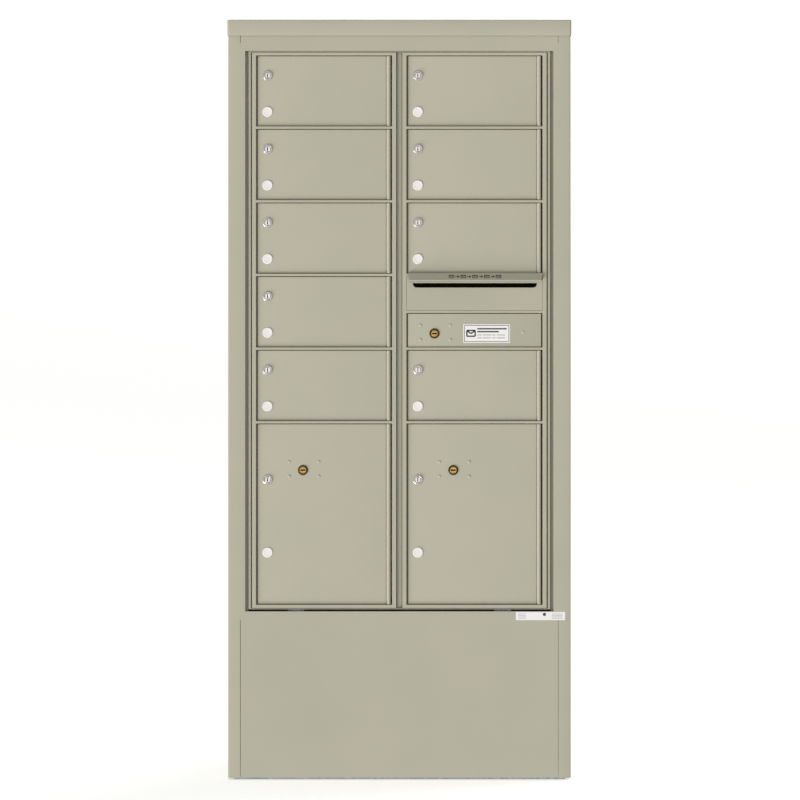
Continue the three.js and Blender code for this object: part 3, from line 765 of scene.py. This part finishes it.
def keyway_filler(width, height, corner, sunk, centre):
    """A block 3 mm deep that fills a keyway from y = sunk: oiled steel painted near black as the slot's
    shade, so that the slot reads as black.
    """
    outline = rounded(width, height, corner)
    return loft([upright_ring(outline, y, centre) for y in (sunk, sunk + 3 * MM)])


# %% [markdown]
# The bezel stands 3.4 mm off the door. Below it, on every tenant's door and parcel door, is a blank
# white disc for the box's number, a moulding with a soft rim and a shallow well.

# %% Cam locks and number discs
BEZEL = np.array([(7.9, 0.6), (11.9, 0.6), (12.0, -0.5), (11.7, -1.3), (10.9, -1.7), (10.2, -1.8),
                  (9.9, -2.2), (9.7, -2.9), (9.2, -3.4), (8.4, -3.4), (8.0, -3.0), (7.8, -2.2)]) * MM
DISC_PROFILE = np.array([(12.2, 0.6), (12.3, -0.5), (12.0, -1.2), (11.3, -1.6), (10.2, -1.6),
                         (9.6, -1.45), (6.0, -1.4), (1.0, -1.4)]) * MM
DISC_DROP, PARCEL_DISC_DROP = 87.4 * MM, 175.7 * MM
TENANT_CAM, POSTAL_CAM = 34 * MM, 26 * MM


def on_door(profile, door):
    """A profile of (radius, height off the door's face) as (radius, y)."""
    return profile + [0, face_of(door)]


for lock in CAM_LOCKS:
    door = PARENT[lock]
    x, _, z = PIVOT[lock]
    piece(f"{lock}_bezel", turned(on_door(BEZEL, door), (x, z), looped=True), door, CHROME)
    face = face_of(door) - 3.0 * MM
    barrel = plug((x, z), 7.4 * MM, face, FACE + PLUG_TAIL, (2.2 * MM, 9 * MM), 4 * MM, 0.5 * MM)
    piece(f"{lock}_plug", barrel, lock, CHROME, replaces=[lock])
    # Painted shade: a near-black block in the keyway.
    filler = keyway_filler(2.1 * MM, 8.9 * MM, 1.0 * MM, face + 1.3 * MM, (x, z))
    piece(f"{lock}_keyway", filler, lock, KEYWAY_STEEL_AND_SHADE)
    lock_tail(lock, (x, z), TENANT_CAM)
    drop = PARCEL_DISC_DROP if "parcel" in lock else DISC_DROP
    piece(f"{door}_number_disc", turned(on_door(DISC_PROFILE, door), (x, z - drop)), door, DISC)
print("cam locks made:", len(CAM_LOCKS))

# %% [markdown]
# ## Postal locks
# The carrier's locks are plain brass. The barrel's flange has gone brown where fingers don't reach,
# and the plug in it is bright, with a wide level keyway. Four small studs round each one fix the
# plate behind it, and powder coat has softened them into domes.

# %% Postal locks and studs
FLANGE = np.array([(8.6, 15.0), (10.9, 15.0), (10.9, 0.6), (12.0, 0.6), (12.1, -0.6), (11.7, -1.5),
                   (10.8, -2.0), (9.6, -2.1), (8.9, -1.9), (8.6, -1.4)]) * MM
STUD_X = np.array([-33.3, 38.4]) * MM
STUD_Z = np.array([20.1, -14.7]) * MM
STUD_R, STUD_RISE = 4.2 * MM, 1.5 * MM

for plug_body in POSTAL_LOCKS:
    barrel_node = plug_body.replace("_plug", "_barrel")
    door = BODY_OF[barrel_node]
    x, _, z = PIVOT[plug_body]
    piece(f"{barrel_node}_flange", turned(on_door(FLANGE, door), (x, z), looped=True), door, BRASS_AGED,
          replaces=[barrel_node])
    face = face_of(door) - 2.2 * MM
    core = plug((x, z), 8.3 * MM, face, FACE + PLUG_TAIL, (12.5 * MM, 3.6 * MM), 4 * MM, 0.3 * MM)
    piece(f"{plug_body}_core", core, plug_body, BRASS, replaces=[plug_body])
    # Painted shade: a near-black block in the keyway.
    filler = keyway_filler(12.4 * MM, 3.5 * MM, 1.7 * MM, face + 0.9 * MM, (x, z))
    piece(f"{plug_body}_keyway", filler, plug_body, KEYWAY_STEEL_AND_SHADE)
    lock_tail(plug_body, (x, z), POSTAL_CAM)
    studs = [button((x + dx, z + dz), face_of(door) + 0.3 * MM, STUD_R, STUD_RISE, -1)
             for dx in STUD_X for dz in STUD_Z]
    piece(f"{door}_studs", joined(*studs), door, SANDSTONE)
print("postal locks made:", len(POSTAL_LOCKS))

# %% [markdown]
# ## Outgoing mail
# The outgoing bay is a fixed panel with a letter slot whose lower corners are rounded off. The
# panel's outline and the slot's outline get the same number of points, four bunches of them, so
# the sheet between the two is another looped loft.

# %% Outgoing panel
def cornered(x, z, radii, per_corner=10):
    """A rectangle whose corners are quarter ellipses: radii lists (rx, rz) for the lower left,
    lower right, upper right and upper left, each drawn with the same number of points."""
    corners = [(x[0], z[0], 1, 1, 180), (x[1], z[0], -1, 1, 270),
               (x[1], z[1], -1, -1, 0), (x[0], z[1], 1, -1, 90)]
    points = []
    for (cx, cz, sx, sz, start), (rx, rz) in zip(corners, radii):
        angle = np.radians(start + np.linspace(0, 90, per_corner))
        round_x = cx + sx * rx + rx * np.cos(angle)
        round_z = cz + sz * rz + rz * np.sin(angle)
        points.append(np.column_stack([round_x, round_z]))
    return np.concatenate(points)


SLOT_X, SLOT_Z = np.array([33, 332]) * MM, np.array([1187.5, 1198.3]) * MM
LARGE, SMALL = (9 * MM, 9 * MM), (0.5 * MM, 0.5 * MM)
low, high = extent("outgoing_mail_panel")
panel_outline = cornered((low[0], high[0]), (low[2], high[2]), [(0, 0)] * 4)
slot_outline = cornered(SLOT_X, SLOT_Z, [LARGE, LARGE, SMALL, SMALL])
panel_rings = [upright_ring(panel_outline, FACE), upright_ring(slot_outline, FACE),
               upright_ring(slot_outline, high[1]), upright_ring(panel_outline, high[1])]
piece("outgoing_mail_panel_sheet", loft(panel_rings, looped=True), "right_master", SANDSTONE,
      bevel=0.4 * MM, replaces=["outgoing_mail_panel"])
piece("outgoing_mail_hood_folded", merged_copy("outgoing_mail_hood"), "right_master", SANDSTONE,
      bevel=0.7 * MM, replaces=["outgoing_mail_hood"], flat_within=math.radians(1))
ACCESS_FACE = face_of("right_access_door")
rivet = button((298.8 * MM, 1079.4 * MM), ACCESS_FACE + 0.3 * MM, 4.0 * MM, 1.3 * MM, -1)
piece("access_door_rivet", rivet, "right_access_door", SANDSTONE)

# %% [markdown]
# ## Markings
# The hood and the access door carry printed marks. They are drawn here as plain pictograms, an
# envelope and an arrow, made of strokes. A stroke is a thin bar between two points of the printed
# face, and the same drawing is laid on any face by an origin and two directions.

# %% Strokes on a face
def stroke(start, end, width, thickness, origin, along, up):
    """A bar of that width from start to end, raised by thickness along the face's own normal."""
    start, end = np.array(start, float), np.array(end, float)
    run = (end - start) / np.linalg.norm(end - start)
    side = np.array([-run[1], run[0]]) * width / 2
    flat = np.array([start - side, end - side, end + side, start + side])
    along, up = np.array(along, float), np.array(up, float)
    normal = np.cross(along, up)
    base = np.array(origin) + flat[:, :1] * along + flat[:, 1:] * up
    return loft([base, base + normal * thickness])


def envelope(centre, width, height):
    """The strokes of an envelope: its four sides and the V of its flap, as pairs of points."""
    (u, v), a, b = centre, width / 2, height / 2
    box = [(u - a, v - b), (u + a, v - b), (u + a, v + b), (u - a, v + b)]
    return [*zip(box, box[1:] + box[:1]), (box[3], (u, v - b * 0.1)), (box[2], (u, v - b * 0.1))]


def arrow(centre, width, height):
    """The strokes of an arrow pointing to the right."""
    (u, v), a, b = centre, width / 2, height / 2
    return [((u - a, v), (u + a, v)), ((u + a, v), (u, v + b)), ((u + a, v), (u, v - b))]


def drawn(strokes, width, thickness, origin, along=(1, 0, 0), up=(0, 0, 1)):
    """All the strokes of a drawing as one surface."""
    return joined(*[stroke(p, q, width, thickness, origin, along, up) for p, q in strokes])


# %% [markdown]
# The hood's drawing lies on its sloping face, between its top edge and its hem. Going up that face
# runs from the hem's line to the top edge, so that direction is worked out from the two.

# %% Hood marks and access label
hood_low, hood_high = extent("outgoing_mail_hood")
hem_line = np.array([hood_low[1], hood_low[2] + SHEET])
top_line = np.array([FACE - 2.5 * MM, hood_high[2]])
slope = (top_line - hem_line) / np.linalg.norm(top_line - hem_line)
middle = (top_line + hem_line) / 2
marks_x = np.linspace(126, 239, 9) * MM
marks = []
for i, x in enumerate(marks_x):
    marks += arrow((x, 0), 9 * MM, 6 * MM) if i % 2 else envelope((x, 0), 11.5 * MM, 8 * MM)
hood_marks = drawn(marks, 1.9 * MM, 0.12 * MM, (0, *middle), up=(0, *slope))
piece("hood_marks", hood_marks, "right_master", HOOD_INK)

LABEL_X, LABEL_Z = np.array([154.3, 267.4]) * MM, np.array([1054, 1099]) * MM
label_face = ACCESS_FACE - 0.35 * MM


def sticker(name, x, z, face, body):
    """A printed film with small round corners, 0.35 mm thick with its glue."""
    outline = rounded(x[1] - x[0], z[1] - z[0], 1.2 * MM)
    centre = (sum(x) / 2, sum(z) / 2)
    film = loft([upright_ring(outline, face, centre), upright_ring(outline, face + 0.4 * MM, centre)])
    return piece(name, film, body, VINYL)


sticker("access_label", LABEL_X, LABEL_Z, label_face, "right_access_door")
inset_x, inset_z = LABEL_X + np.array([3, -3]) * MM, LABEL_Z + np.array([3, -3]) * MM
border = [(inset_x[0], inset_z[0]), (inset_x[1], inset_z[0]),
          (inset_x[1], inset_z[1]), (inset_x[0], inset_z[1])]
frame_strokes = [*zip(border, border[1:] + border[:1])]
bars = envelope((173, 1077), 20, 14) + [((188, 1088), (259, 1088)), ((188, 1081), (240, 1081))]
bars = [tuple((u * MM, v * MM) for u, v in pair) for pair in bars]
fine = [tuple((u * MM, z * MM) for u in (a, b)) for z in (1073, 1066)
        for a, b in ((188, 199), (202, 221), (224, 232), (235, 255))]
for name, strokes, width, ink in (("access_label_border", frame_strokes, 1.3 * MM, INK),
                                  ("access_label_pictogram", bars, 3.4 * MM, INK),
                                  ("access_label_fine_bars", fine, 1.6 * MM, INK_PALE)):
    piece(name, drawn(strokes, width, 0.1 * MM, (0, label_face, 0)), "right_access_door", ink)

STICKER_X, STICKER_Z = np.array([281, 400]) * MM, np.array([385, 405]) * MM
sticker_face = FRONT - 0.3 * MM
sticker("maker_sticker_blank", STICKER_X, STICKER_Z, sticker_face, "cabinet")
rows = [tuple((u * MM, z * MM) for u in (a, b)) for z in (400, 396.5, 393, 389.5)
        for a, b in ((287, 305), (368, 394))]
row_bars = drawn(rows, 0.9 * MM, 0.08 * MM, (0, sticker_face, 0))
piece("maker_sticker_bars", row_bars, "cabinet", INK_PALE)
roundel = button((350 * MM, 399 * MM), sticker_face, 4.0 * MM, 0.1 * MM, -1)
piece("maker_sticker_roundel", roundel, "cabinet", INK)

# %% [markdown]
# ## Studio
# The cabinet stands in a round white room, whose floor sweeps up into a wall on every side, so it
# can be looked at from anywhere. Even white light comes from all round. A broad key, low on the
# left, lays a soft shadow inside each frame, a fill lights the back and the right-hand side, and a
# softbox behind the camera gives the locks something bright to mirror. The room casts no shadow,
# bounces no light and shows in no reflection, so the key can reach up from below, the foot is no
# brighter than the roof, and the chrome keeps its darker tones.

# %% Room
def round_room(radius, turn, height):
    """A closed room: a floor out to the turn, a quarter circle up, a wall and a flat ceiling. Each
    point (distance from the middle, height) of that profile is carried round the z axis."""
    profile = np.concatenate([[[1.0, 0.0]], arc((radius - turn, turn), turn, -90, 0, 24), [[radius, height]]])
    return loft([level_ring(circle(r, 96), z) for r, z in profile])


ROOM_RADIUS, ROOM_TURN, ROOM_HEIGHT = 14.0, 3.0, 15.0
GLOW = 0.5


def stage_paint():
    """Opal acrylic lit from behind: matt white with a faint stipple, and a glow of its own."""
    material, tree, shader = blank("floor_opal_acrylic_backlit")
    where = add(tree, "ShaderNodeTexCoord").outputs["Object"]
    stipple = add(tree, "ShaderNodeTexNoise", {"Vector": where, "Scale": 1 / (4 * MM), "Detail": 2.0})
    bump = add(tree, "ShaderNodeBump", {"Height": stipple.outputs["Fac"], "Strength": 0.05,
                                        "Distance": 0.2 * MM})
    tree.links.new(bump.outputs[0], shader.inputs["Normal"])
    shader.inputs["Base Color"].default_value = to_linear("#F4F4F2")
    shader.inputs["Roughness"].default_value = 0.9
    shader.inputs["Emission Color"].default_value = to_linear("#FFFFFF")
    shader.inputs["Emission Strength"].default_value = GLOW
    return material


points, faces = round_room(ROOM_RADIUS, ROOM_TURN, ROOM_HEIGHT)
floor_mesh = bpy.data.meshes.new("studio_floor")
floor_mesh.from_pydata(points.tolist(), [], faces)
floor_mesh.materials.append(stage_paint())
floor_mesh.shade_smooth()
floor = bpy.data.objects.new("studio_floor", floor_mesh)
bpy.context.scene.collection.objects.link(floor)
floor.visible_shadow = False
floor.visible_diffuse = False
floor.visible_glossy = False

# %% [markdown]
# The lamps are placed from the middle of the cabinet's front. A sun's place only gives its
# direction, and its angle is how broad it looks, which is what makes the shadows soft.

# %% Light
SKY, KEY, FILL, SOFTBOX = 0.51, 3.2, 1.4, 40
KEY_ANGLE, FILL_ANGLE, SOFTBOX_SIZE = math.radians(36), math.radians(60), 3.6
MIDDLE = np.array([0, FRONT, 0.9])
world = bpy.data.worlds.new("studio")
bpy.context.scene.world = world
world.use_nodes = True
background = world.node_tree.nodes["Background"]
background.inputs["Color"].default_value = to_linear("#FFFFFF")
background.inputs["Strength"].default_value = SKY


def lamp(kind, name, place, target, **settings):
    """A lamp of that kind at one point, turned to face another."""
    light = bpy.data.lights.new(name, kind)
    for key, value in settings.items():
        setattr(light, key, value)
    obj = bpy.data.objects.new(name, light)
    bpy.context.scene.collection.objects.link(obj)
    aim = mathutils.Vector(target) - mathutils.Vector(place)
    obj.location = place
    obj.rotation_euler = aim.to_track_quat("-Z", "Y").to_euler()
    return obj


lamp("SUN", "key_low_left", MIDDLE + [-7.0, -4.2, -6.2], MIDDLE, energy=KEY, angle=KEY_ANGLE)
lamp("SUN", "fill_behind_right", MIDDLE + [4.0, 5.0, 3.0], MIDDLE, energy=FILL, angle=FILL_ANGLE)
lamp("AREA", "front_softbox", MIDDLE + [0, -9.6, 0.3], MIDDLE, energy=SOFTBOX, size=SOFTBOX_SIZE)
bpy.context.scene.view_settings.view_transform = "Standard"

# %% [markdown]
# ## Camera
# The view is square on to the doors, from far enough away that nothing leans. The lens follows
# from the distance and from the width of the view at the cabinet's front.

# %% Camera
VIEW_WIDTH, DISTANCE, SENSOR = 1.930, 9.0, 36.0
EYE = (0.0016, FRONT - DISTANCE, 0.9161)
camera_data = bpy.data.cameras.new("camera")
camera_data.sensor_width = SENSOR
camera_data.lens = SENSOR * DISTANCE / VIEW_WIDTH
camera_data.clip_end = 60
camera = bpy.data.objects.new("camera", camera_data)
bpy.context.scene.collection.objects.link(camera)
camera.location = EYE
camera.rotation_euler = (math.radians(90), 0, 0)
bpy.context.scene.camera = camera
print("lens", round(camera_data.lens, 1), "mm")
